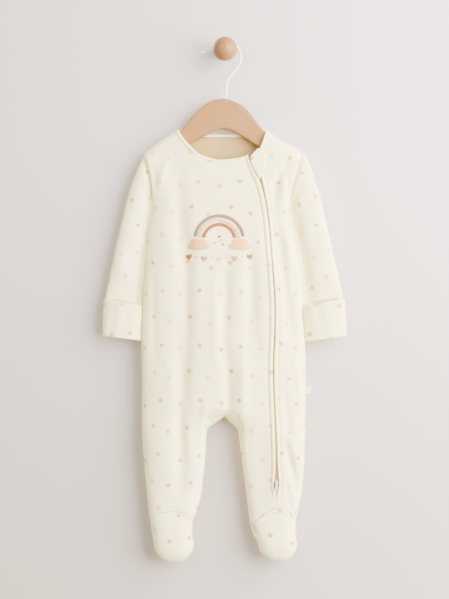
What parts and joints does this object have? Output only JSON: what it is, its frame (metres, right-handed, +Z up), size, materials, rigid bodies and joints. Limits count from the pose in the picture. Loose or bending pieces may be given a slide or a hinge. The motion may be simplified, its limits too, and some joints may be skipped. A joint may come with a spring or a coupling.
{
  "type": "footed baby sleepsuit on a wooden hanger and wall knob",
  "caption": "Long-sleeved footed baby sleepsuit with a curved front zip and turned-back cuffs, hung on a wooden hanger from a wall knob.",
  "frame": {"origin": "centre of the wall knob's flat back, on the wall plane", "axes": "+Z up, -Y out of the wall towards the viewer, +X to the viewer's right"},
  "size_m": [0.3396, 0.0547, 0.728],
  "materials": {
    "jersey": "soft cotton jersey with a small star print",
    "binding": "ribbed cotton binding",
    "facing": "beige marl jersey",
    "zip_tape": "woven tan tape",
    "zip_metal": "polished nickel",
    "label": "satin ribbon",
    "applique_sand": "brushed felt",
    "applique_pink": "brushed felt",
    "applique_taupe": "brushed felt",
    "applique_cloud": "soft terry",
    "beech": "satin varnish",
    "knob": "matt oil",
    "wire": "white lacquer",
    "tip": "pale plastic"
  },
  "bodies": {
    "root": {"front_main": "jersey", "front_side": "jersey", "back": "jersey", "gusset": "jersey", "sleeve_left": "jersey", "sleeve_right": "jersey", "cuff_left": "jersey", "cuff_right": "jersey", "foot_top_left": "jersey", "foot_top_right": "jersey", "foot_sole_left": "jersey", "foot_sole_right": "jersey", "zip_tape_left": "zip_tape", "zip_tape_right": "zip_tape", "neck_binding_main": "binding", "neck_binding_side": "binding", "neck_binding_back": "binding", "back_facing": "facing", "chin_guard": "jersey", "side_label": "label", "applique_arc_1": "applique_sand", "applique_arc_2": "applique_pink", "applique_arc_3": "applique_taupe", "applique_cloud_left": "applique_cloud", "applique_cloud_right": "applique_cloud", "zip_slider": "zip_metal", "hanger_wood": "beech", "hanger_hook": "wire", "hook_tip": "tip", "wall_knob": "knob"},
    "pull_tab": {"zip_pull": "zip_metal"}
  },
  "joints": [
    {"name": "pull_tab_hinge", "type": "hinge", "parent": "root", "child": "pull_tab", "pos_m": [0.0712, -0.03799, -0.5999], "axis": [-1, 0, 0], "range_deg": [0, 150]}
  ]
}
